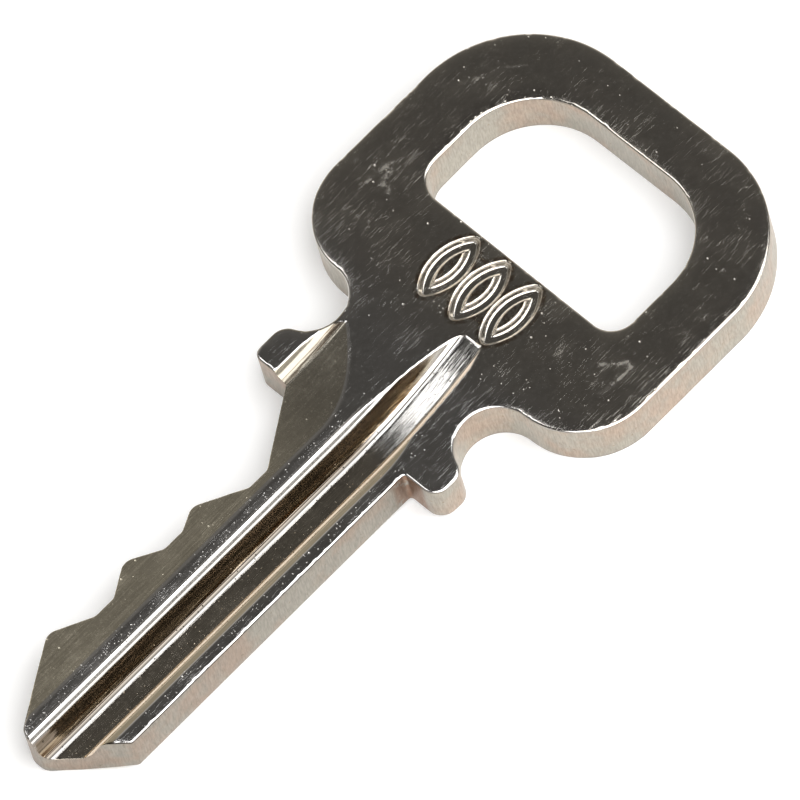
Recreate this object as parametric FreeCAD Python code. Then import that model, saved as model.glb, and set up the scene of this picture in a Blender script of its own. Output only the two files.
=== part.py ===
"""A small flat cylinder key, in millimetres.

Frame: the key lies on its back face at z = 0. X runs along the key, from the nose of the blade
at -X to the far end of the bow at +X. The bitting edge of the blade faces +Y and the spine
faces -Y. The origin is under the middle of the key's box.
"""

import FreeCAD
import Part
import math
import os

Vector = FreeCAD.Vector

# The blank
KEY_LENGTH = 32.1
THICKNESS = 1.9
NOSE_X = -KEY_LENGTH / 2
BOW_END_X = KEY_LENGTH / 2
EDGE_RADIUS = 0.06

# The bow: a plate with larger corners at its far end, and an opening for a key ring. Each near
# corner of the opening is given as its x, its y and its radius.
BOW_WIDTH = 14.9
BOW_FAR_RADIUS = 4.65
BOW_NEAR_X = 3.95
BOW_NEAR_RADIUS = 2.9
OPENING_SPINE_CORNER = (8.05, -4.9, 0.95)
OPENING_CUT_CORNER = (8.13, 4.85, 1.1)
OPENING_FAR_X = 13.92
OPENING_FAR_RADIUS = 3.0

# The neck: a round waist on each side, tangent to the bow, then a lug whose front face stops
# the key in its lock
SPINE_WAIST_RADIUS = 1.45
CUT_WAIST_RADIUS = 1.38
WAIST_Y = BOW_WIDTH / 2 - BOW_NEAR_RADIUS
SHOULDER_X = -0.35
LUG_HALF_WIDTH = 4.45
SPINE_LUG_RADIUS = 0.6
CUT_LUG_RADIUS = 0.36
WAIST_LUG_RADIUS = 0.65
SHOULDER_FILLET = 0.15

# The blade outline
SPINE_Y = -2.92
HEEL_X = -13.85
HEEL_RADIUS = 0.2
NOSE_RADIUS = 0.6
NOSE_LOW_Y = -0.47
NOSE_HIGH_Y = 0.28
FIRST_PEAK = (-12.62, 2.50)
SECOND_PEAK = (-8.93, 2.41)
THIRD_PEAK = (-5.92, 2.05)
FIRST_VALLEY = (-11.11, -10.21, 1.59)
SECOND_VALLEY = (-7.71, -6.81, 1.57)
THIRD_VALLEY = (-4.14, -3.24, 0.92)
CUT_END_Y = 2.90
PEAK_RADIUS = 0.5
VALLEY_RADIUS = 0.35

# The keyway cuts, made by a disc cutter that stops short of the bow: places across the blade,
# and depths below the front face
CUTTER_RADIUS = 17.2
CUTTER_STOP_X = -1.0
GROOVE_DEPTH = 1.05
GROOVE_SECTION = (
    (-2.44, 0.0),
    (-2.10, 0.13),
    (-1.80, 0.80),
    (-1.54, GROOVE_DEPTH),
    (-0.82, GROOVE_DEPTH),
    (-0.68, 1.02),
    (-0.55, 0.93),
    (-0.41, 0.74),
    (-0.26, 0.47),
    (-0.18, 0.27),
    (-0.07, 0.11),
    (0.01, 0.0),
)
FLANK_DEPTH = 0.41
FLANK_SECTION = (
    (0.45, 0.0),
    (2.82, FLANK_DEPTH),
    (3.05, 0.37),
    (3.25, 0.27),
    (3.35, 0.14),
    (3.38, 0.0),
)
BACK_RELIEF_DEPTH = 0.25
BACK_RELIEF_SECTION = (
    (SPINE_Y - 0.01, 0.0),
    (SPINE_Y - 0.01, BACK_RELIEF_DEPTH),
    (-1.5, 0.0),
)

# The stamped marks: three plain leaf shapes, each made of two round-bottomed arcs
MARK_COUNT = 3
MARK_PITCH = 1.5
MARK_MIDDLE_X = 6.5
MARK_MIDDLE_Y = 0.05
MARK_HALF_LENGTH = 1.2
MARK_HALF_WIDTH = 0.45
FURROW_RADIUS = 0.28
FURROW_LIFT = 0.08

CLEAR = 1.0


def corner_points(before, corner, after, radius):
    """The start, middle and end of the arc that rounds a corner of an outline."""
    into = (corner - before).normalize()
    out = (after - corner).normalize()
    half_turn = into.getAngle(out) / 2
    back = radius * math.tan(half_turn)
    start = corner - into * back
    end = corner + out * back
    inward = (out - into).normalize()
    middle = corner + inward * radius * (1 / math.cos(half_turn) - 1)
    return start, middle, end


def rounded_plate(corners, thickness=THICKNESS):
    """A flat plate on z = 0 from corners given as (x, y, radius), where radius 0 is sharp."""
    points = [Vector(x, y, 0) for x, y, radius in corners]
    edges = []
    ends = []
    for i, (x, y, radius) in enumerate(corners):
        before = points[i - 1]
        after = points[(i + 1) % len(points)]
        if radius > 0:
            start, middle, end = corner_points(before, points[i], after, radius)
            edges.append(Part.Arc(start, middle, end).toShape())
            ends.append((start, end))
        else:
            ends.append((points[i], points[i]))
    for i in range(len(ends)):
        leave = ends[i][1]
        arrive = ends[(i + 1) % len(ends)][0]
        if leave.distanceToPoint(arrive) > 1e-6:
            edges.append(Part.LineSegment(leave, arrive).toShape())
    outline = Part.Wire(Part.__sortEdges__(edges))
    return Part.Face(outline).extrude(Vector(0, 0, thickness))


def bow():
    """The bow plate, before its opening is cut."""
    half = BOW_WIDTH / 2
    return rounded_plate([
        (BOW_END_X, -half, BOW_FAR_RADIUS),
        (BOW_END_X, half, BOW_FAR_RADIUS),
        (BOW_NEAR_X, half, BOW_NEAR_RADIUS),
        (BOW_NEAR_X, -half, BOW_NEAR_RADIUS),
    ])


def bow_opening():
    """The space of the key-ring opening."""
    space = rounded_plate([
        (OPENING_FAR_X, OPENING_SPINE_CORNER[1], OPENING_FAR_RADIUS),
        (OPENING_FAR_X, OPENING_CUT_CORNER[1], OPENING_FAR_RADIUS),
        OPENING_CUT_CORNER,
        OPENING_SPINE_CORNER,
    ], THICKNESS + 2 * CLEAR)
    space.translate(Vector(0, 0, -CLEAR))
    return space


def neck():
    """The two lugs and the waists between them and the bow."""
    reach = BOW_NEAR_X + BOW_NEAR_RADIUS
    step_x = BOW_NEAR_X - SPINE_WAIST_RADIUS
    block = rounded_plate([
        (SHOULDER_X, -LUG_HALF_WIDTH, SPINE_LUG_RADIUS),
        (step_x, -LUG_HALF_WIDTH, 0),
        (step_x, -WAIST_Y, 0),
        (reach, -WAIST_Y, 0),
        (reach, WAIST_Y, 0),
        (step_x, WAIST_Y, 0),
        (step_x, LUG_HALF_WIDTH, 0),
        (SHOULDER_X, LUG_HALF_WIDTH, CUT_LUG_RADIUS),
    ])
    for side, radius in ((-1, SPINE_WAIST_RADIUS), (1, CUT_WAIST_RADIUS)):
        base = Vector(BOW_NEAR_X - radius, side * WAIST_Y, -CLEAR)
        waist = Part.makeCylinder(radius, THICKNESS + 2 * CLEAR, base)
        block = block.cut(waist)
    return round_lugs(block)


def upright_edges(solid):
    """The edges of a plate that run from its back face to its front face."""
    return [edge for edge in solid.Edges if abs(edge.tangentAt(edge.FirstParameter).z) > 0.9]


def round_lugs(block):
    """Rounds the upright edge where each waist meets the outer face of its lug."""
    edges = []
    for edge in upright_edges(block):
        place = edge.CenterOfMass
        if SHOULDER_X + 1 < place.x < BOW_NEAR_X and abs(abs(place.y) - LUG_HALF_WIDTH) < 0.01:
            edges.append(edge)
    return block.makeFillet(WAIST_LUG_RADIUS, edges)


def blade():
    """The blade with its pointed nose and the bitting cut into its +Y edge."""
    root_x = SHOULDER_X + 2
    return rounded_plate([
        (root_x, SPINE_Y, 0),
        (root_x, CUT_END_Y, 0),
        (SHOULDER_X, CUT_END_Y, 0),
        (THIRD_VALLEY[1], THIRD_VALLEY[2], VALLEY_RADIUS),
        (THIRD_VALLEY[0], THIRD_VALLEY[2], VALLEY_RADIUS),
        (THIRD_PEAK[0], THIRD_PEAK[1], PEAK_RADIUS),
        (SECOND_VALLEY[1], SECOND_VALLEY[2], VALLEY_RADIUS),
        (SECOND_VALLEY[0], SECOND_VALLEY[2], VALLEY_RADIUS),
        (SECOND_PEAK[0], SECOND_PEAK[1], PEAK_RADIUS),
        (FIRST_VALLEY[1], FIRST_VALLEY[2], VALLEY_RADIUS),
        (FIRST_VALLEY[0], FIRST_VALLEY[2], VALLEY_RADIUS),
        (FIRST_PEAK[0], FIRST_PEAK[1], PEAK_RADIUS),
        (NOSE_X, NOSE_HIGH_Y, NOSE_RADIUS),
        (NOSE_X, NOSE_LOW_Y, NOSE_RADIUS),
        (HEEL_X, SPINE_Y, HEEL_RADIUS),
    ])


def disc_cut(section, deepest, from_back=False):
    """What a disc cutter takes away: its section swept along the blade, then its round run-out.

    The section is a list of (y, depth) corners, open at the face that it is cut from.
    """
    face_z = 0.0 if from_back else THICKNESS
    into = 1 if from_back else -1
    points = [Vector(CUTTER_STOP_X, y, face_z + into * depth) for y, depth in section]
    above = face_z - into * CLEAR
    points.append(Vector(CUTTER_STOP_X, section[-1][0], above))
    points.append(Vector(CUTTER_STOP_X, section[0][0], above))
    face = Part.Face(Part.makePolygon(points + points[:1]))
    run = face.extrude(Vector(NOSE_X - CLEAR - CUTTER_STOP_X, 0, 0))
    axis_z = face_z + into * (deepest - CUTTER_RADIUS)
    run_out = face.revolve(Vector(CUTTER_STOP_X, 0, axis_z), Vector(0, 1, 0), 35 * into)
    return run.fuse(run_out).removeSplitter()


def keyway_cuts():
    """The groove and the sloping flank of the front face, and the relief along the back."""
    groove = disc_cut(GROOVE_SECTION, GROOVE_DEPTH)
    flank = disc_cut(FLANK_SECTION, FLANK_DEPTH)
    relief = disc_cut(BACK_RELIEF_SECTION, BACK_RELIEF_DEPTH, from_back=True)
    return [groove, flank, relief]


def arc_furrow(middle_x, middle_y, side):
    """One round-bottomed arc from tip to tip of a leaf mark, bulging towards side * Y."""
    radius = (MARK_HALF_LENGTH ** 2 + MARK_HALF_WIDTH ** 2) / (2 * MARK_HALF_WIDTH)
    reach = math.degrees(math.asin(MARK_HALF_LENGTH / radius))
    centre = Vector(middle_x, middle_y + side * (MARK_HALF_WIDTH - radius), THICKNESS + FURROW_LIFT)
    start_angle = 90 * side - reach
    start = math.radians(start_angle)
    point = centre + Vector(math.cos(start), math.sin(start), 0) * radius
    along = Vector(-math.sin(start), math.cos(start), 0)
    ring = Part.Wire(Part.makeCircle(FURROW_RADIUS, point, along))
    sweep = Part.Face(ring).revolve(centre, Vector(0, 0, 1), 2 * reach)
    return sweep


def marks():
    """The stamped row of leaf marks across the bow, as the solids to take away."""
    tools = []
    for i in range(MARK_COUNT):
        y = MARK_MIDDLE_Y + (i - (MARK_COUNT - 1) / 2) * MARK_PITCH
        for side in (-1, 1):
            tools.append(arc_furrow(MARK_MIDDLE_X, y, side))
        for end in (-1, 1):
            tip = Vector(MARK_MIDDLE_X + end * MARK_HALF_LENGTH, y, THICKNESS + FURROW_LIFT)
            tools.append(Part.makeSphere(FURROW_RADIUS, tip))
    return tools


def rounded_edges(plate):
    """The plate with the edges of both its faces rounded, as tumbling leaves them."""
    corners = []
    for edge in upright_edges(plate):
        place = edge.CenterOfMass
        if abs(place.x - SHOULDER_X) < 0.01 and abs(place.y - SPINE_Y) < 0.01:
            corners.append(edge)
    plate = plate.makeFillet(SHOULDER_FILLET, corners)
    edges = []
    for edge in plate.Edges:
        middle = (edge.FirstParameter + edge.LastParameter) / 2
        if abs(edge.tangentAt(middle).z) < 0.5:
            edges.append(edge)
    return plate.makeFillet(EDGE_RADIUS, edges)


def key():
    """The whole key, one solid."""
    blank = bow().fuse([neck(), blade()]).removeSplitter()
    blank = blank.cut(bow_opening()).Solids[0]
    body = rounded_edges(blank)
    body = body.cut(keyway_cuts())
    body = body.cut(marks())
    return body


def main():
    os.makedirs("parts", exist_ok=True)
    body = key()
    assert len(body.Solids) == 1 and body.isValid()
    solid = body.Solids[0]
    solid.exportStep("parts/key_body.step")
    print("box", solid.BoundBox, "volume", round(solid.Volume, 2), "faces", len(solid.Faces))


main()
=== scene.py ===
"""Studio view of a small flat key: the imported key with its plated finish, on a pale floor."""
import math
from collections import namedtuple
import bpy
import numpy as np
from mathutils import Matrix, Vector, kdtree, noise
from mathutils.geometry import delaunay_2d_cdt


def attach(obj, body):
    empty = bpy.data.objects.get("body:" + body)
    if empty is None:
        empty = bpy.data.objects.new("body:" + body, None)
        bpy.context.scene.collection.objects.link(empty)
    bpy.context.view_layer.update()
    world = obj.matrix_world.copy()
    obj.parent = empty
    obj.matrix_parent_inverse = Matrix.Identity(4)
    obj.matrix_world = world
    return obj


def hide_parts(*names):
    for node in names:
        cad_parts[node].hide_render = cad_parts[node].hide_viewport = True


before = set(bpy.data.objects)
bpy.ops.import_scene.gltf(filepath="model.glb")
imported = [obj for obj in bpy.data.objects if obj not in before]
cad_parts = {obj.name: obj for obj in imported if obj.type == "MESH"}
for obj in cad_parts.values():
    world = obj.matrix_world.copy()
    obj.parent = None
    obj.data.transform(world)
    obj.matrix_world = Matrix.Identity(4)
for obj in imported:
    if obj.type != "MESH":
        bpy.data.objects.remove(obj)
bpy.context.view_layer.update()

MM = 0.001


# ---------------------------------------------------------------- the key's shape, in millimetres
# The plate, the bow, the shoulders and the blade
TOP = 1.9
NOSE_X, END_X = -16.05, 16.05
BOW_X, BOW_HALF = 3.95, 7.45
BOW_RADIUS, BOW_FAR_RADIUS = 2.9, 4.65
WAIST_Y = BOW_HALF - BOW_RADIUS
SHOULDER_X, LUG_HALF = -0.35, 4.45
SPINE_Y, CUT_END_Y = -2.92, 2.90

# The cuts: the radius of the disc cutter, the x where its travel stops, and sections as (y, depth)
CUTTER = 17.2
CUTTER_STOP = -1.0
GROOVE = ((-2.44, 0.0), (-2.10, 0.13), (-1.80, 0.80), (-1.54, 1.05), (-0.82, 1.05), (-0.68, 1.02),
          (-0.55, 0.93), (-0.41, 0.74), (-0.26, 0.47), (-0.18, 0.27), (-0.07, 0.11), (0.01, 0.0))
FLANK = ((0.45, 0.0), (2.82, 0.41), (3.05, 0.37), (3.25, 0.27), (3.35, 0.14), (3.38, 0.0))
BACK_RELIEF = ((-2.93, 0.25), (-1.5, 0.0))
RUN_OUT_X = 5.3
CUT_LOW_Y, CUT_HIGH_Y = -2.6, 3.6

# The stamped marks, and how far from them the mesh is fine
MARK_YS = (-1.45, 0.05, 1.55)
MARK_X, MARK_LENGTH, MARK_WIDTH = 6.5, 1.2, 0.45
MARK_DEPTH = 0.2
MARK_REACH = 0.4

# How the bow's face falls away towards its blanked edges
ROLL_DEPTH, ROLL_WIDTH = 0.03, 0.6

# The search tree of the outlines, once it has been made
TREES = []


def lug(side, front_radius, waist_radius, lug_radius=0.65):
    """Corners (x, y, radius) from the shoulder round one lug and its waist to the bow."""
    middle_x = BOW_X - waist_radius
    reach = waist_radius + lug_radius
    drop = WAIST_Y - (LUG_HALF - lug_radius)
    lug_x = middle_x - math.sqrt(reach ** 2 - drop ** 2)
    across, along = (middle_x - lug_x) / reach, drop / reach
    touch_x = lug_x + lug_radius * across
    touch_y = LUG_HALF - lug_radius + lug_radius * along
    slope = along / across
    high_y = WAIST_Y - waist_radius
    corners = [
        (SHOULDER_X, LUG_HALF, front_radius),
        (touch_x - slope * (LUG_HALF - touch_y), LUG_HALF, lug_radius),
        (touch_x + slope * (touch_y - high_y), high_y, waist_radius),
        (BOW_X, high_y, waist_radius),
        (BOW_X, BOW_HALF, BOW_RADIUS),
        (END_X, BOW_HALF, BOW_FAR_RADIUS),
    ]
    return [(x, side * y, radius) for x, y, radius in corners]


def outline_corners():
    """The key's outline, anticlockwise from the nose, as corners (x, y, radius)."""
    spine = [(NOSE_X, 0.28, 0.6), (NOSE_X, -0.47, 0.6), (-13.85, SPINE_Y, 0.2), (SHOULDER_X, SPINE_Y, 0.15)]
    cut = [
        (SHOULDER_X, CUT_END_Y, 0.06),
        (-3.24, 0.92, 0.35), (-4.14, 0.92, 0.35), (-5.92, 2.05, 0.5),
        (-6.81, 1.57, 0.35), (-7.71, 1.57, 0.35), (-8.93, 2.41, 0.5),
        (-10.21, 1.59, 0.35), (-11.11, 1.59, 0.35), (-12.62, 2.50, 0.5),
    ]
    return spine + lug(-1, 0.6, 1.45) + lug(1, 0.36, 1.38)[::-1] + cut


def opening_corners():
    """The key-ring opening, clockwise, so that the metal is on the left of it too."""
    return [(13.92, -4.9, 3.0), (8.05, -4.9, 0.95), (8.13, 4.85, 1.1), (13.92, 4.85, 3.0)]


def trace(corners, spacing):
    """Points along a closed outline with rounded corners, and the normals into the metal."""
    spots = [Vector((x, y)) for x, y, _ in corners]
    points, normals = [], []

    def add(point, normal):
        if not points or (point - points[-1]).length > 1e-3:
            points.append(point)
            normals.append(normal)

    def add_line(start, end, step):
        length = (end - start).length
        if length < 1e-4:
            return
        along = (end - start) / length
        count = max(1, round(length / step))
        for i in range(count):
            add(start.lerp(end, (i + 0.5) / count), Vector((-along.y, along.x)))

    bends = []
    for i, (x, y, radius) in enumerate(corners):
        into = (spots[i] - spots[i - 1]).normalized()
        out = (spots[(i + 1) % len(spots)] - spots[i]).normalized()
        turn = math.atan2(into.x * out.y - into.y * out.x, into.dot(out))
        back = radius * math.tan(abs(turn) / 2)
        bends.append((spots[i] - into * back, spots[i] + out * back, into, turn, radius))
    for i, (start, end, into, turn, radius) in enumerate(bends):
        side = math.copysign(1, turn)
        centre = start + Vector((-into.y, into.x)) * radius * side
        count = max(3, round(abs(turn) * radius / spacing), round(abs(turn) / 0.16))
        for k in range(count + 1):
            angle = turn * k / count
            along = Vector((into.x * math.cos(angle) - into.y * math.sin(angle),
                            into.x * math.sin(angle) + into.y * math.cos(angle)))
            normal = Vector((-along.y, along.x))
            add(centre - normal * radius * side, normal)
        add_line(end, bends[(i + 1) % len(bends)][0], spacing)
    if (points[0] - points[-1]).length < 1e-3:
        points.pop()
        normals.pop()
    return np.array(points), np.array(normals)


def cut_depth(section, deepest, x, y):
    """How deep a disc cutter has gone at x, y: its section, rising on a circle past its stop."""
    ys, depths = zip(*section)
    depth = np.interp(y, ys, depths, left=depths[0] if depths[0] > 0.2 else 0.0, right=0.0)
    past = np.maximum(x - CUTTER_STOP, 0.0)
    below = CUTTER - deepest
    rising = np.sqrt(np.maximum((below + depth) ** 2 - past ** 2, 0.0)) - below
    return np.where(depth > 0, np.maximum(rising, 0.0), 0.0)


def mark_distance(x, y):
    """Distance from x, y to the nearest centre line of the leaf-shaped marks."""
    radius = (MARK_LENGTH ** 2 + MARK_WIDTH ** 2) / (2 * MARK_WIDTH)
    nearest = np.full(np.shape(x), 9.0)
    for middle in MARK_YS:
        for side in (-1, 1):
            dx = x - MARK_X
            dy = (y - middle) * side + (radius - MARK_WIDTH)
            inside = (np.abs(dx) * (radius - MARK_WIDTH) <= dy * MARK_LENGTH)
            along = np.abs(np.hypot(dx, dy) - radius)
            to_tip = np.hypot(np.abs(dx) - MARK_LENGTH, y - middle)
            nearest = np.minimum(nearest, np.where(inside, along, to_tip))
    return nearest


def smooth(value, low, high):
    """0 where value is under low, 1 where it is over high, and smooth between."""
    share = np.clip((value - low) / (high - low), 0.0, 1.0)
    return share * share * (3 - 2 * share)


def mark_depth(x, y):
    """Stamped furrows with a nearly flat bottom and a rounded lip."""
    distance = mark_distance(x, y)
    return MARK_DEPTH * (1 - smooth(distance, 0.11, 0.27))


def edge_roll(x, y):
    """How far the front face of the bow falls away towards its blanked edges."""
    distance = edge_distance(x, y)
    fall = ROLL_DEPTH * np.clip(1 - distance / ROLL_WIDTH, 0.0, 1.0) ** 2
    return fall * smooth(x, -0.3, 0.6)


def front_depth(x, y):
    """Depth of the front face below the top plane."""
    depth = np.maximum(cut_depth(GROOVE, 1.05, x, y), cut_depth(FLANK, 0.41, x, y))
    return np.maximum(depth, mark_depth(x, y) + edge_roll(x, y))


def back_depth(x, y):
    """Height of the back face above the plane that the key lies on."""
    return cut_depth(BACK_RELIEF, 0.25, x, y)


def outline_tree():
    """A search tree of points along both outlines."""
    spots = np.concatenate([trace(outline_corners(), 0.06)[0], trace(opening_corners(), 0.06)[0]])
    tree = kdtree.KDTree(len(spots))
    for i, (x, y) in enumerate(spots):
        tree.insert((x, y, 0.0), i)
    tree.balance()
    return tree


def edge_distance(x, y):
    """Distance from x, y to the nearest edge of the metal."""
    if not TREES:
        TREES.append(outline_tree())
    return np.array([TREES[0].find((a, b, 0.0))[2] for a, b in zip(x, y)])


def wobble(points, scale, seed):
    """A smooth random value from about -1 to 1 at each point, the same in every run."""
    return np.array([noise.noise(Vector((x * scale, y * scale, seed))) for x, y in points]) * 2


def grid(low_x, high_x, low_y, high_y, step_x, step_y):
    """Points of a rectangular grid."""
    xs = np.linspace(low_x, high_x, max(2, round((high_x - low_x) / step_x) + 1))
    ys = np.linspace(low_y, high_y, max(2, round((high_y - low_y) / step_y) + 1))
    return np.stack(np.meshgrid(xs, ys), -1).reshape(-1, 2)


def rows(low_x, high_x, step_x, ys):
    """Points of a grid with the given rows."""
    xs = np.linspace(low_x, high_x, max(2, round((high_x - low_x) / step_x) + 1))
    return np.stack(np.meshgrid(xs, np.array(ys)), -1).reshape(-1, 2)


def crease_rows():
    """Rows across the blade: two close together at each crease of its cuts, and some between."""
    creases = [y for y, _ in GROOVE + FLANK]
    ys = [y + shift for y in creases for shift in (-0.012, 0.012)]
    ys += list(np.arange(-2.8, 3.4, 0.1))
    ys = sorted(ys)
    kept = [ys[0]]
    for y in ys[1:]:
        if y - kept[-1] > 0.02:
            kept.append(y)
    return kept


def front_points():
    """Where the front face has vertices, denser where it is cut."""
    fine = grid(CUTTER_STOP - 0.3, RUN_OUT_X, CUT_LOW_Y, CUT_HIGH_Y, 0.06, 0.045)
    straight = rows(-16.0, CUTTER_STOP - 0.36, 0.14, crease_rows())
    stamped = grid(5.0, 8.0, -2.3, 2.4, 0.04, 0.04)
    stamped = stamped[mark_distance(stamped[:, 0], stamped[:, 1]) < MARK_REACH]
    fine = fine[mark_distance(fine[:, 0], fine[:, 1]) >= MARK_REACH]
    plain = grid(-16.0, 16.0, -7.4, 7.4, 0.5, 0.5)
    in_fine = (plain[:, 0] < RUN_OUT_X + 0.1) & (plain[:, 1] > -3.0) & (plain[:, 1] < CUT_HIGH_Y + 0.1)
    in_marks = mark_distance(plain[:, 0], plain[:, 1]) < MARK_REACH + 0.05
    return np.concatenate([fine, straight, stamped, plain[~(in_fine | in_marks)], beside_edges()])


def beside_edges():
    """Places along the bow's edges, where its face falls away."""
    sets = []
    for corners in (outline_corners(), opening_corners()):
        points, normals = trace(corners, 0.2)
        for inset in (0.2, 0.3, 0.42, 0.56, 0.7):
            sets.append(points + normals * inset)
    places = np.concatenate(sets)
    places = places[places[:, 0] > -0.2]
    clear = mark_distance(places[:, 0], places[:, 1]) > 0.42
    in_cuts = (places[:, 0] < RUN_OUT_X) & (places[:, 1] > CUT_LOW_Y) & (places[:, 1] < CUT_HIGH_Y)
    return places[clear & ~in_cuts]


def back_points():
    """Where the back face has vertices."""
    relief_rows = [-2.8, -2.5, -2.2, -1.9, -1.6, -1.52, -1.48]
    flat_rows = [-1.2, -0.6, 0.2, 1.0, 1.6, 2.2, 2.7]
    blade = rows(-16.0, 2.4, 0.3, relief_rows + flat_rows)
    plain = grid(-0.2, 16.0, -7.4, 7.4, 0.6, 0.6)
    plain = plain[~((plain[:, 0] < 2.6) & (np.abs(plain[:, 1]) < 3.0))]
    return np.concatenate([blade, plain])


class Metal:
    """Collects vertices and faces of the key's surface."""

    def __init__(self):
        self.verts = []
        self.faces = []
        self.count = 0

    def add(self, xyz):
        """Adds vertices, and gives the number of the first."""
        first = self.count
        self.verts.append(np.asarray(xyz, float))
        self.count += len(xyz)
        return first

    def ring_side(self, first_low, first_high, count):
        """A band of quads between two rings, facing out of the metal."""
        for i in range(count):
            j = (i + 1) % count
            self.faces.append((first_low + i, first_low + j, first_high + j, first_high + i))


def edge_profile(points, normals, depth_of, radius, steps, width=1.0):
    """Rings from the wall up over a rounded edge: for each, places and heights below the plane.

    Where the face has been cut away after tumbling, the edge is almost sharp.
    """
    rings = []
    cut = depth_of(points[:, 0], points[:, 1])
    local = radius * (1 - 0.75 * smooth(cut, 0.03, 0.15))
    for k in range(steps + 1):
        angle = math.pi / 2 * k / steps
        place = points + normals * (local * width * (1 - math.cos(angle)))[:, None]
        depth = depth_of(place[:, 0], place[:, 1]) + local * (1 - math.sin(angle))
        rings.append((place, depth))
    return rings


def loop_rings(metal, corners, spacing, seed):
    """The rounded edges and the side wall round one outline. Gives its two innermost rings."""
    points, normals = trace(corners, spacing)
    count = len(points)
    rough = wobble(points, 0.9, seed)
    nicked = smooth(wobble(points, 3.7, seed + 5.0), 0.5, 0.8)
    top_radius = 0.045 + 0.008 * rough + 0.02 * nicked
    bottom_radius = 0.06 + 0.015 * wobble(points, 0.8, seed + 9.0)
    ledge = 0.004 * np.maximum(1 + wobble(points, 5.0, seed + 3.0), 0.0)
    top = edge_profile(points, normals, front_depth, top_radius, 6, 2.1)
    bottom = edge_profile(points, normals, back_depth, bottom_radius, 5)
    rings = [(place, depth) for place, depth in reversed(bottom)]
    levels = [metal.add(np.column_stack([place, depth])) for place, depth in rings]
    low = rings[-1][1]
    high = TOP - top[0][1]
    for share, give in ((0.2, 0.5), (0.5, 1.0), (0.8, 0.5)):
        place = points + normals * (ledge * give)[:, None]
        levels.append(metal.add(np.column_stack([place, low + (high - low) * share])))
    for place, depth in top:
        levels.append(metal.add(np.column_stack([place, TOP - depth])))
    for lower, upper in zip(levels, levels[1:]):
        metal.ring_side(lower, upper, count)
    return (levels[0], rings[0][0], normals), (levels[-1], top[-1][0], normals)


def inside_metal(loops, places, margin):
    """Which places are inside the metal by at least margin."""
    total = sum(len(points) for points, _ in loops)
    tree = kdtree.KDTree(total)
    spots, inward = [], []
    for points, normals in loops:
        for point, normal in zip(points, normals):
            tree.insert((point[0], point[1], 0.0), len(spots))
            spots.append(point)
            inward.append(normal)
    tree.balance()
    keep = []
    for x, y in places:
        _, index, distance = tree.find((x, y, 0.0))
        side = (x - spots[index][0]) * inward[index][0] + (y - spots[index][1]) * inward[index][1]
        keep.append(side > 0 and distance > margin)
    return np.array(keep)


def in_ring(ring, places):
    """Which places are inside a closed ring of points."""
    x, y = places[:, 0][:, None], places[:, 1][:, None]
    x0, y0 = ring[:, 0], ring[:, 1]
    x1, y1 = np.roll(x0, -1), np.roll(y0, -1)
    spans = (y0 > y) != (y1 > y)
    rise = np.where(y1 == y0, 1.0, y1 - y0)
    crossed = spans & (x < x0 + (y - y0) * (x1 - x0) / rise)
    return crossed.sum(axis=1) % 2 == 1


def fill_face(metal, rings, places, height_of, upward):
    """Triangulates one face of the key between its innermost rings."""
    loops = [(ring, normals) for _, ring, normals in rings]
    places = places[inside_metal(loops, places, 0.05)]
    spots, sources, edges = [], [], []
    for first, ring, _ in rings:
        start = len(spots)
        spots += [Vector(p) for p in ring]
        sources += range(first, first + len(ring))
        edges += [(start + i, start + (i + 1) % len(ring)) for i in range(len(ring))]
    first = metal.add(np.column_stack([places, height_of(places[:, 0], places[:, 1])]))
    spots += [Vector(p) for p in places]
    sources += range(first, first + len(places))
    made, _, faces, origins, _, _ = delaunay_2d_cdt(spots, edges, [], 1, 1e-6)
    middles = np.array([(made[f[0]] + made[f[1]] + made[f[2]]) / 3 for f in faces])
    kept = ~in_ring(rings[1][1], middles[:, :2])
    for face, keep in zip(faces, kept):
        corners = [sources[origins[i][0]] for i in face]
        if keep and len(set(corners)) == 3:
            metal.faces.append(corners if upward else corners[::-1])


def key_mesh():
    """The whole surface of the key as one closed mesh, in metres."""
    metal = Metal()
    outer = loop_rings(metal, outline_corners(), 0.09, 1.0)
    inner = loop_rings(metal, opening_corners(), 0.11, 2.0)
    fill_face(metal, [outer[0], inner[0]], back_points(), back_depth, False)
    fill_face(metal, [outer[1], inner[1]], front_points(), lambda x, y: TOP - front_depth(x, y), True)
    mesh = bpy.data.meshes.new("key")
    verts = np.concatenate(metal.verts)
    used = sorted({corner for face in metal.faces for corner in face})
    place = {old: new for new, old in enumerate(used)}
    verts = verts[used]
    mesh.from_pydata((verts * MM).tolist(), [], [[place[c] for c in face] for face in metal.faces])
    for name, values in (("edge_distance", edge_distance(verts[:, 0], verts[:, 1])),
                         ("mark_distance", mark_distance(verts[:, 0], verts[:, 1]))):
        mesh.attributes.new(name, "FLOAT", "POINT").data.foreach_set("value", values)
    mesh.polygons.foreach_set("use_smooth", [True] * len(mesh.polygons))
    mesh.update()
    return mesh


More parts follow.
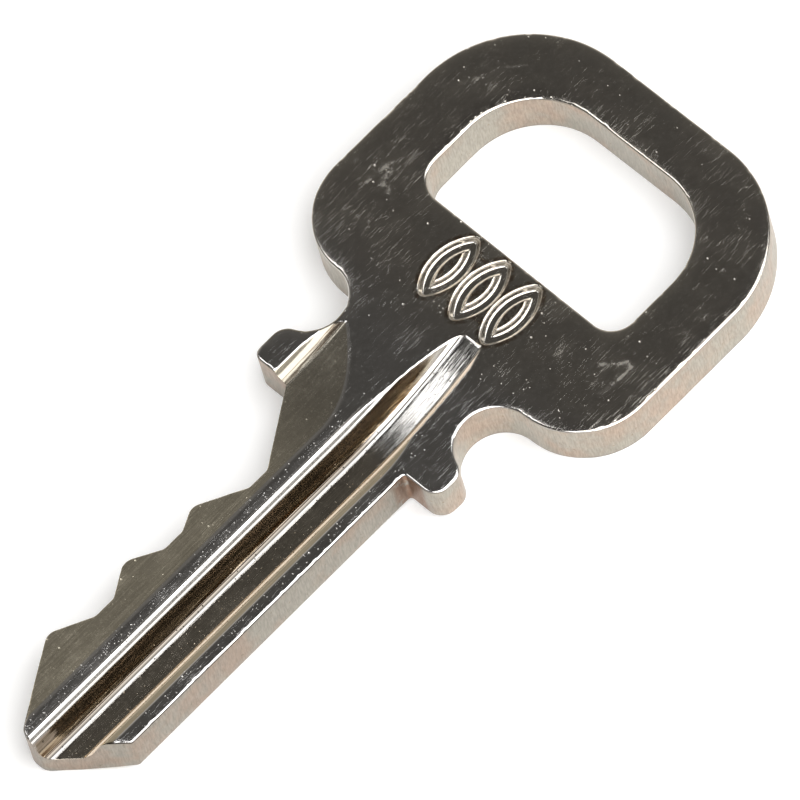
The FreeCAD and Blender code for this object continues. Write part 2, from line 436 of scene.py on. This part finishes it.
class Graph:
    """A short way to write a shader's node tree."""

    def __init__(self, tree):
        self.tree = tree
        tree.nodes.clear()

    def node(self, kind, inputs=None, **settings):
        made = self.tree.nodes.new(kind)
        for name, value in settings.items():
            setattr(made, name, value)
        for name, value in (inputs or {}).items():
            self.plug(made.inputs[name], value)
        return made

    def plug(self, socket, value):
        if isinstance(value, bpy.types.NodeSocket):
            self.tree.links.new(value, socket)
        else:
            socket.default_value = value

    def math(self, operation, a, b=0.0, c=0.0, clamp=False):
        made = self.tree.nodes.new("ShaderNodeMath")
        made.operation = operation
        made.use_clamp = clamp
        for socket, value in zip(made.inputs, (a, b, c)):
            self.plug(socket, value)
        return made.outputs[0]

    def step(self, value, low, high):
        """0 where value is under low, 1 where it is over high, and smooth between."""
        made = self.node("ShaderNodeMapRange", interpolation_type="SMOOTHSTEP")
        for name, given in (("Value", value), ("From Min", low), ("From Max", high)):
            self.plug(made.inputs[name], given)
        return made.outputs["Result"]

    def spread(self, value, low, high):
        """Turns a value from 0 to 1 into one from low to high."""
        made = self.node("ShaderNodeMapRange")
        for name, given in (("Value", value), ("To Min", low), ("To Max", high)):
            self.plug(made.inputs[name], given)
        return made.outputs["Result"]

    def band(self, value, low, high, soft):
        """1 between low and high, with soft sides."""
        rise = self.step(value, low - soft, low + soft)
        fall = self.step(value, high - soft, high + soft)
        return self.math("SUBTRACT", rise, fall, clamp=True)

    def mix(self, share, a, b):
        made = self.node("ShaderNodeMix", data_type="RGBA")
        self.plug(made.inputs["Factor"], share)
        for name, value in (("A", a), ("B", b)):
            socket = [s for s in made.inputs if s.name == name and s.type == "RGBA"][0]
            self.plug(socket, value)
        return [s for s in made.outputs if s.type == "RGBA"][0]

    def moved(self, vector, scale=(1, 1, 1), turn=0.0, shift=(0, 0, 0)):
        made = self.node("ShaderNodeMapping")
        self.plug(made.inputs["Vector"], vector)
        made.inputs["Scale"].default_value = scale
        made.inputs["Rotation"].default_value = (0, 0, turn)
        made.inputs["Location"].default_value = shift
        return made.outputs[0]

    def noise(self, vector, scale, detail=2.0, roughness=0.5):
        made = self.node("ShaderNodeTexNoise")
        self.plug(made.inputs["Vector"], vector)
        made.inputs["Scale"].default_value = scale
        made.inputs["Detail"].default_value = detail
        made.inputs["Roughness"].default_value = roughness
        return made.outputs["Fac"]

    def bump(self, height, distance, strength=1.0, normal=None):
        made = self.node("ShaderNodeBump")
        made.inputs["Strength"].default_value = strength
        made.inputs["Distance"].default_value = distance
        self.plug(made.inputs["Height"], height)
        if normal is not None:
            self.plug(made.inputs["Normal"], normal)
        return made.outputs[0]


# ---------------------------------------------------------------- the finish
# Spans of y on the front face: from, to, and the softness of both sides.
GROOVE_SPAN = (-2.43, 0.08, 0.02)
BROW = (0.015, 0.09, 0.012)
LIT_LIP = (-0.19, 0.0, 0.01)
WORN_LIP = (-0.19, 0.02, 0.012)
WORN_FLOOR = (-0.80, -0.69, 0.012)
BURNISHED = (-1.80, -1.60, 0.02)
DIRTY_FLANK = (2.86, 3.10, 0.03)

# The x at which something has gone and the x from which it is full.
STRAIGHT = (1.6, -0.4)
BLADE_ONLY = (0.2, -0.9)

# A band of colour in the groove. Its noise picks between the two colours, and limits, if any,
# are the noise values that give the first and the second alone.
Layer = namedtuple("Layer", "span fade noise limits first second share", defaults=(1.0,))
STAINED_FLOOR = Layer((-1.56, -0.80, 0.03), STRAIGHT, "lines", None,
                      (0.54, 0.48, 0.39), (0.84, 0.77, 0.66))
NECK = Layer((-1.70, -0.66, 0.04), (-0.6, 0.6), "lines", (0.35, 0.65),
             (0.36, 0.35, 0.335), (0.70, 0.685, 0.66))
GLOW = Layer((-1.80, -1.58, 0.02), None, "lines", None, (0.36, 0.30, 0.24), (0.22, 0.185, 0.145))
STEEP = Layer((-0.45, -0.19, 0.02), (4.2, 2.8), "banded", (0.35, 0.65),
              (0.12, 0.095, 0.065), (0.25, 0.20, 0.155))
PATINA = Layer((-0.55, -0.40, 0.015), (3.6, 1.8), "banded", (0.42, 0.60),
               (0.14, 0.085, 0.045), (0.62, 0.50, 0.36))
UNDER = Layer((-0.60, -0.55, 0.012), STRAIGHT, "lines", (0.35, 0.65),
              (0.03, 0.021, 0.014), (0.11, 0.085, 0.062))
FOOT = Layer((-0.655, -0.60, 0.012), STRAIGHT, "lines", None,
             (0.13, 0.114, 0.094), (0.28, 0.247, 0.206))
# Painted reflection: a near-black line along a crease near the groove's floor, standing for a narrow facet
# that reflects dark.
PAINTED_CREASE_REFLECTION = Layer((-0.695, -0.645, 0.012), None, None, None, (0.035, 0.03, 0.025), None, 0.93)
CREST = Layer((-0.130, -0.064, 0.008), (3.0, 0.5), "grain", (0.38, 0.62),
              (0.055, 0.052, 0.047), (0.15, 0.142, 0.13))


def scratches(g, place, turn, density, length=0.9, width=22.0):
    """Fine straight scratches at one angle, from 0 to 1. place is in millimetres."""
    along = g.moved(place, (length, width, 1.0), turn, (turn * 7.0, turn * 3.0, 0))
    line = g.noise(along, 1.0, 2.0, 0.7)
    return g.step(line, density, density + 0.08)


def sparkle(g, place, scale, share, size):
    """Small round pits: 1 in the middle of each, in the given share of cells."""
    cells = g.node("ShaderNodeTexVoronoi", {"Vector": place, "Scale": scale})
    pick = g.node("ShaderNodeSeparateColor", {"Color": cells.outputs["Color"]}).outputs[0]
    dot = g.step(cells.outputs["Distance"], size, size * 0.3)
    return g.math("MULTIPLY", g.math("LESS_THAN", pick, share), dot)


def all_of(g, *masks):
    """The product of several masks."""
    product = masks[0]
    for mask in masks[1:]:
        product = g.math("MULTIPLY", product, mask)
    return product


def sum_of(g, *terms):
    """The sum of several values."""
    total = terms[0]
    for term in terms[1:]:
        total = g.math("ADD", total, term)
    return total


def centred(g, value, size, mask):
    """A noise turned into one about 0, of the given size, where the mask is 1."""
    return all_of(g, g.math("SUBTRACT", value, 0.5), size, mask)


def opaque(color):
    """A colour with its alpha."""
    return (*color, 1)


class Surface:
    """What the finish depends on: the place on the key in millimetres, masks and noises."""

    def __init__(self, g):
        coordinates = g.node("ShaderNodeTexCoord")
        self.place = g.moved(coordinates.outputs["Object"], (1 / MM, 1 / MM, 1 / MM))
        self.x, self.y, self.z = g.node("ShaderNodeSeparateXYZ", {"Vector": self.place}).outputs
        self.normal = g.node("ShaderNodeNewGeometry").outputs["Normal"]
        self.edge = g.node("ShaderNodeAttribute", attribute_name="edge_distance").outputs["Fac"]
        self.mark = g.node("ShaderNodeAttribute", attribute_name="mark_distance").outputs["Fac"]
        self.add_masks(g)
        self.add_noises(g)

    def add_masks(self, g):
        up = g.node("ShaderNodeSeparateXYZ", {"Vector": self.normal}).outputs["Z"]
        upright = g.math("SUBTRACT", 1.0, g.step(g.math("ABSOLUTE", up), 0.25, 0.5))
        self.wall = g.math("MULTIPLY", upright, g.step(self.edge, 0.10, 0.045))
        self.face = g.math("SUBTRACT", 1.0, self.wall)
        cut = g.step(self.z, 1.885, 1.87)
        self.groove = all_of(g, g.band(self.y, *GROOVE_SPAN), g.step(self.x, 5.3, 5.1), cut, self.face)
        self.flank = all_of(g, g.step(self.y, 0.44, 0.5), g.step(self.x, 3.0, 2.8), cut, self.face)
        self.lip = g.math("MULTIPLY", g.band(self.y, 0.0, 0.30, 0.04), g.step(self.x, 0.5, -1.0))
        self.straight = g.step(self.x, *STRAIGHT)

    def add_noises(self, g):
        """Milling lines that run along the key, and cloudy and grainy noises."""
        self.lines = g.noise(g.moved(self.place, (0.35, 24.0, 4.0)), 1.0, 3.0, 0.65)
        fine = g.moved(self.place, (0.9, 60.0, 8.0), 0, (3.1, 7.7, 0))
        self.fine_lines = g.noise(fine, 1.0, 2.0, 0.6)
        wide = g.moved(self.place, (0.3, 7.0, 11.0), 0, (5.1, 1.7, 0))
        self.banded = g.noise(wide, 1.0, 3.0, 0.65)
        self.soft = g.noise(self.place, 0.6, 4.0, 0.6)
        self.haze = g.noise(self.place, 3.2, 5.0, 0.7)
        self.grain = g.noise(self.place, 26.0, 2.0, 0.6)
        upright = g.moved(self.place, (7.0, 7.0, 0.8), 0, (1.7, 0.3, 0))
        self.shear = g.noise(upright, 1.0, 4.0, 0.6)


def hairlines(g, key):
    """Hair scratches at several angles, fewer in the groove."""
    hair = scratches(g, key.place, 1.45, 0.64)
    for turn, density in ((1.75, 0.65), (0.5, 0.66), (2.3, 0.66), (0.1, 0.67), (0.9, 0.66)):
        hair = g.math("MAXIMUM", hair, scratches(g, key.place, turn, density, 0.7, 42.0))
    patchy = g.spread(g.step(key.soft, 0.38, 0.62), 0.4, 1.0)
    return all_of(g, hair, patchy, g.spread(key.groove, 1.0, 0.15))


def scuffs(g, key):
    """Dull patches in the middle of the bow's arms, where a key ring rubs."""
    sides = g.math("MULTIPLY", g.step(key.x, 5.8, 7.2), g.step(g.math("ABSOLUTE", key.y), 4.8, 5.3))
    arms = g.math("MAXIMUM", sides, g.step(key.x, 13.9, 14.3))
    return all_of(g, g.band(key.edge, 1.28, 1.42, 0.09), g.step(key.haze, 0.40, 0.56), arms)


def small_pits(g, key):
    """Pits all over the faces, denser beside and in the cuts and along the rim."""
    pits = g.math("MAXIMUM", sparkle(g, key.place, 2.1, 0.28, 0.09), sparkle(g, key.place, 6.0, 0.05, 0.16))
    beside = all_of(g, g.band(key.y, -3.0, 0.5, 0.1), g.step(key.x, 2.0, 0.0))
    near_cuts = g.math("MAXIMUM", beside, key.groove)
    clean_wall = g.band(key.y, -0.6, 0.06, 0.03)
    near_cuts = g.math("MULTIPLY", near_cuts, g.math("SUBTRACT", 1.0, clean_wall))
    dense = g.math("MULTIPLY", sparkle(g, key.place, 8.0, 0.24, 0.22), near_cuts)
    on_lip = g.math("MULTIPLY", sparkle(g, key.place, 11.0, 0.3, 0.28), key.lip)
    dense = g.math("MAXIMUM", dense, on_lip)
    rim = g.math("MULTIPLY", sparkle(g, key.place, 4.5, 0.30, 0.22), g.step(key.edge, 0.15, 0.10))
    return g.math("MULTIPLY", g.math("MAXIMUM", pits, g.math("MAXIMUM", dense, rim)), key.face)


def roughness(g, key, hair, scuffed):
    """Bright plate with duller patches, and matte sheared walls."""
    mottle = g.noise(key.place, 9.0, 3.0, 0.7)
    face_rough = sum_of(
        g,
        g.spread(key.haze, 0.07, 0.19),
        g.math("MULTIPLY", g.step(mottle, 0.5, 0.75), 0.08),
        g.math("MULTIPLY", g.step(key.soft, 0.45, 0.7), 0.04),
        g.math("MULTIPLY", scuffed, 0.18),
        g.math("MULTIPLY", hair, 0.05),
        g.math("MULTIPLY", key.flank, 0.10),
        g.math("MULTIPLY", key.lip, 0.04),
    )
    wall_rough = g.spread(key.shear, 0.28, 0.46)
    return g.math("ADD", g.math("MULTIPLY", face_rough, key.face), g.math("MULTIPLY", wall_rough, key.wall))


def layer_share(g, key, layer):
    """Where a layer lies, from 0 to 1."""
    masks = [key.groove, g.band(key.y, *layer.span)]
    if layer.fade:
        masks.append(g.step(key.x, *layer.fade))
    return all_of(g, *masks, layer.share) if layer.share < 1 else all_of(g, *masks)


def lay(g, key, color, layer):
    """A colour with one more layer over it."""
    paint = opaque(layer.first)
    if layer.second:
        noise_value = getattr(key, layer.noise)
        pick = g.step(noise_value, *layer.limits) if layer.limits else noise_value
        paint = g.mix(pick, opaque(layer.first), opaque(layer.second))
    return g.mix(layer_share(g, key, layer), color, paint)


def groove_color(g, key):
    """Plate all over, with the groove's stained, worn and brushed bands laid on it, and a painted dark
    reflection along one crease.
    """
    plate = g.mix(key.soft, (0.70, 0.67, 0.63, 1), (0.73, 0.68, 0.59, 1))
    plate = g.mix(g.step(key.x, 6.0, 2.5), plate, (0.73, 0.715, 0.70, 1))
    color = lay(g, key, plate, STAINED_FLOOR)
    worn = g.math("MAXIMUM", g.band(key.y, *WORN_LIP), g.band(key.y, *WORN_FLOOR))
    color = g.mix(all_of(g, key.groove, worn, key.straight), color, (0.39, 0.375, 0.355, 1))
    color = lay(g, key, color, NECK)
    champagne = g.mix(key.lines, (0.68, 0.60, 0.46, 1), (0.52, 0.46, 0.35, 1))
    color = g.mix(g.math("MULTIPLY", key.groove, g.step(key.y, -1.54, -1.58)), color, champagne)
    for layer in (GLOW, STEEP, PATINA, UNDER, FOOT, PAINTED_CREASE_REFLECTION, CREST):
        color = lay(g, key, color, layer)
    return color


def flank_color(g, key, color):
    """The olive flank, darker towards the bow, with dirt along its far side."""
    olive = g.mix(g.step(key.lines, 0.3, 0.7), (0.59, 0.54, 0.43, 1), (0.81, 0.75, 0.61, 1))
    olive = g.mix(g.step(key.x, -5.0, 0.5), olive, (0.40, 0.37, 0.31, 1))
    color = g.mix(key.flank, color, olive)
    dirt = all_of(g, key.flank, g.band(key.y, *DIRTY_FLANK), g.step(key.lines, 0.40, 0.56))
    return g.mix(g.math("MULTIPLY", dirt, 0.9), color, (0.10, 0.07, 0.045, 1))


def mark_color(g, key, color):
    """Brown dirt round the stamped marks."""
    around = g.math("MULTIPLY", g.band(key.mark, 0.24, 0.42, 0.06), g.step(key.haze, 0.38, 0.6))
    return g.mix(g.math("MULTIPLY", around, 0.75), color, (0.30, 0.20, 0.11, 1))


def wall_shade(g, key):
    """How light the sheared walls are: streaked, darker on the blade, and darker at both of its edges with
    painted shade.
    """
    streak = g.noise(g.moved(key.place, (15.0, 15.0, 2.6), 0.6, (0.4, 2.2, 0)), 1.0, 4.0, 0.7)
    return all_of(
        g,
        g.spread(g.step(streak, 0.3, 0.7), 0.84, 1.16),
        g.spread(g.step(key.x, *BLADE_ONLY), 1.0, 0.74),
        # Painted shade: a darker line just under the rounded top edge of each wall.
        g.spread(g.band(key.z, 1.815, 1.865, 0.012), 1.0, 0.6),
        # Painted shadow: the foot of each wall darkened, like a contact shadow.
        g.spread(g.step(key.z, 0.10, 0.04), 1.0, 0.4),
    )


def wall_color(g, key, color):
    """Sheared brass and worn plate, a painted dark line of shade under the blade's edge, and a stained
    corner.
    """
    peach = g.step(g.noise(key.place, 0.45, 3.0, 0.6), 0.42, 0.66)
    sheared = g.mix(peach, (0.40, 0.37, 0.315, 1), (0.43, 0.34, 0.27, 1))
    blotches = g.step(g.noise(key.place, 7.0, 3.0, 0.7), 0.62, 0.72)
    sheared = g.mix(blotches, sheared, (0.30, 0.24, 0.18, 1))
    shade = wall_shade(g, key)
    shade = g.node("ShaderNodeCombineXYZ", {"X": shade, "Y": shade, "Z": shade}).outputs[0]
    sheared = g.node("ShaderNodeVectorMath", {0: sheared, 1: shade}, operation="MULTIPLY").outputs[0]
    color = g.mix(key.wall, color, sheared)
    # Painted shade: a near-black line under the blade's rounded top edge.
    under_edge = g.band(key.z, 1.812, 1.874, 0.008)
    blade_painted_shade_line = all_of(g, under_edge, g.step(key.x, *BLADE_ONLY), g.step(key.edge, 0.07, 0.04))
    color = g.mix(g.math("MULTIPLY", blade_painted_shade_line, 0.85), color, (0.055, 0.046, 0.038, 1))
    corner = all_of(g, g.band(key.x, -0.95, -0.30, 0.14), g.band(key.y, -3.75, -2.9, 0.12), key.wall)
    corner = g.math("MULTIPLY", corner, g.step(g.noise(key.place, 2.6, 3.0, 0.6), 0.30, 0.46))
    return g.mix(g.math("MULTIPLY", corner, 0.85), color, (0.22, 0.085, 0.03, 1))


def tilted_normal(g, key):
    """The surface's own normal with small tilts: milling lines in the cuts, and worn bands."""
    along_x = sum_of(g, centred(g, key.lines, 0.20, key.groove), centred(g, key.fine_lines, 0.16, key.groove))
    milled = g.math("MAXIMUM", key.groove, g.math("MULTIPLY", key.flank, 0.5))
    lit_lip = g.math("MULTIPLY", key.groove, g.band(key.y, *LIT_LIP))
    brow = all_of(g, g.band(key.y, *BROW), key.face, key.straight)
    burnished = g.math("MULTIPLY", key.groove, g.band(key.y, *BURNISHED))
    across_y = sum_of(
        g,
        centred(g, key.fine_lines, 0.22, milled),
        centred(g, key.soft, 0.02, key.face),
        centred(g, key.lines, 0.10, key.flank),
        centred(g, key.banded, 0.9, layer_share(g, key, PATINA)),
        g.math("MULTIPLY", lit_lip, 0.4),
        centred(g, key.lines, 0.35, layer_share(g, key, NECK)),
        g.math("MULTIPLY", brow, 0.35),
        g.math("MULTIPLY", burnished, -1.05),
    )
    tilt = g.node("ShaderNodeCombineXYZ", {"X": along_x, "Y": across_y})
    leaning = g.node("ShaderNodeVectorMath", {0: key.normal, 1: tilt.outputs[0]}, operation="ADD")
    return g.node("ShaderNodeVectorMath", {0: leaning.outputs[0]}, operation="NORMALIZE").outputs[0]


def relief(g, key, hair, scuffed, pits):
    """The height of the surface's fine texture, in millimetres."""
    return sum_of(
        g,
        g.math("MULTIPLY", key.haze, 0.0035),
        g.math("MULTIPLY", key.grain, g.spread(scuffed, 0.0010, 0.0035)),
        g.math("MULTIPLY", hair, -0.0008),
        g.math("MULTIPLY", pits, g.spread(key.groove, -0.016, -0.05)),
        g.math("MULTIPLY", g.math("MULTIPLY", key.shear, key.wall), 0.03),
    )


def plated_metal():
    """Bright plate on brass: polished faces, milled cuts with old stain, and sheared side walls."""
    material = bpy.data.materials.new("plated_metal")
    material.use_nodes = True
    g = Graph(material.node_tree)
    key = Surface(g)
    hair = hairlines(g, key)
    scuffed = scuffs(g, key)
    pits = small_pits(g, key)
    rough = roughness(g, key, hair, scuffed)
    color = wall_color(g, key, mark_color(g, key, flank_color(g, key, groove_color(g, key))))
    normal = g.bump(relief(g, key, hair, scuffed, pits), MM, normal=tilted_normal(g, key))
    shader = g.node("ShaderNodeBsdfPrincipled", {"Base Color": color, "Roughness": rough, "Normal": normal})
    shader.inputs["Metallic"].default_value = 1.0
    g.node("ShaderNodeOutputMaterial", {"Surface": shader.outputs[0]})
    return material


def floor():
    """A wide pale table under the key."""
    half = 0.6
    mesh = bpy.data.meshes.new("floor")
    corners = [(-half, -half, 0), (half, -half, 0), (half, half, 0), (-half, half, 0)]
    mesh.from_pydata(corners, [], [(0, 1, 2, 3)])
    table = bpy.data.objects.new("floor", mesh)
    bpy.context.scene.collection.objects.link(table)
    table.location.z = -0.02 * MM
    material = bpy.data.materials.new("floor")
    material.use_nodes = True
    shader = material.node_tree.nodes["Principled BSDF"]
    shader.inputs["Base Color"].default_value = (0.90, 0.90, 0.90, 1)
    shader.inputs["Roughness"].default_value = 0.9
    shader.inputs["Specular IOR Level"].default_value = 0.0
    shader.inputs["Emission Color"].default_value = (1.0, 1.0, 1.0, 1)
    shader.inputs["Emission Strength"].default_value = 0.2
    mesh.materials.append(material)


def softbox(name, toward, distance, width, height, power, color=(1, 1, 1)):
    """An area light on the line from the key in direction toward, facing the key."""
    data = bpy.data.lights.new(name, "AREA")
    data.shape = "RECTANGLE"
    data.size, data.size_y = width, height
    data.energy = power
    data.color = color
    lamp = bpy.data.objects.new(name, data)
    bpy.context.scene.collection.objects.link(lamp)
    direction = Vector(toward).normalized()
    lamp.location = direction * distance
    lamp.rotation_mode = "QUATERNION"
    lamp.rotation_quaternion = direction.to_track_quat("Z", "Y")
    return lamp


def studio():
    """Dark overhead, bright low down, with soft lights beside the key."""
    world = bpy.data.worlds.new("studio")
    bpy.context.scene.world = world
    world.use_nodes = True
    g = Graph(world.node_tree)
    direction = g.node("ShaderNodeTexCoord").outputs["Generated"]
    up = g.node("ShaderNodeSeparateXYZ", {"Vector": direction}).outputs["Z"]
    ramp = g.node("ShaderNodeValToRGB", {"Fac": up})
    stops = ramp.color_ramp.elements
    stops[0].position, stops[0].color = 0.0, (1.0, 0.97, 0.92, 1)
    stops[1].position, stops[1].color = 0.95, (0.035, 0.032, 0.030, 1)
    for position, level in ((0.30, 0.50), (0.50, 0.30), (0.67, 0.145), (0.80, 0.085), (0.87, 0.06)):
        stop = stops.new(position)
        stop.color = (level, level * 0.95, level * 0.87, 1)
    background = g.node("ShaderNodeBackground", {"Color": ramp.outputs["Color"]})
    g.node("ShaderNodeOutputWorld", {"Surface": background.outputs[0]})

    softbox("front_box", (0.10, -0.50, 0.86), 0.35, 0.52, 0.46, 2.35)
    softbox("top_box", (-0.105, 0.43, 0.90), 0.40, 0.11, 0.10, 0.09)


# How wide the view is where the key lies, in millimetres
VIEW_WIDTH = 27.577


def camera():
    """A long lens at the angle from which the key is seen."""
    elevation, azimuth, roll = (math.radians(angle) for angle in (60.11, -30.78, -17.27))
    looks_at = Vector((2.192, 0.142, 0.0)) * MM
    view_width = VIEW_WIDTH * MM
    flat = math.cos(elevation)
    back = Vector((math.sin(azimuth) * flat, -math.cos(azimuth) * flat, math.sin(elevation)))
    right = Vector((math.cos(azimuth), math.sin(azimuth), 0))
    up = back.cross(right)
    x_axis = right * math.cos(roll) + up * math.sin(roll)
    y_axis = up * math.cos(roll) - right * math.sin(roll)
    data = bpy.data.cameras.new("camera")
    data.lens, data.sensor_width = 1000.0, 36.0
    distance = data.lens / data.sensor_width * view_width
    seen_from = bpy.data.objects.new("camera", data)
    bpy.context.scene.collection.objects.link(seen_from)
    turn = Matrix((x_axis, y_axis, back)).transposed()
    seen_from.matrix_world = Matrix.Translation(looks_at + back * distance) @ turn.to_4x4()
    data.clip_start, data.clip_end = 0.01, 10.0
    bpy.context.scene.camera = seen_from


def main():
    mesh = key_mesh()
    mesh.materials.append(plated_metal())
    key = bpy.data.objects.new("key", mesh)
    bpy.context.scene.collection.objects.link(key)
    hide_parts("key_body")
    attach(key, "root")
    floor()
    studio()
    camera()
    bpy.context.scene.view_settings.view_transform = "Standard"


main()
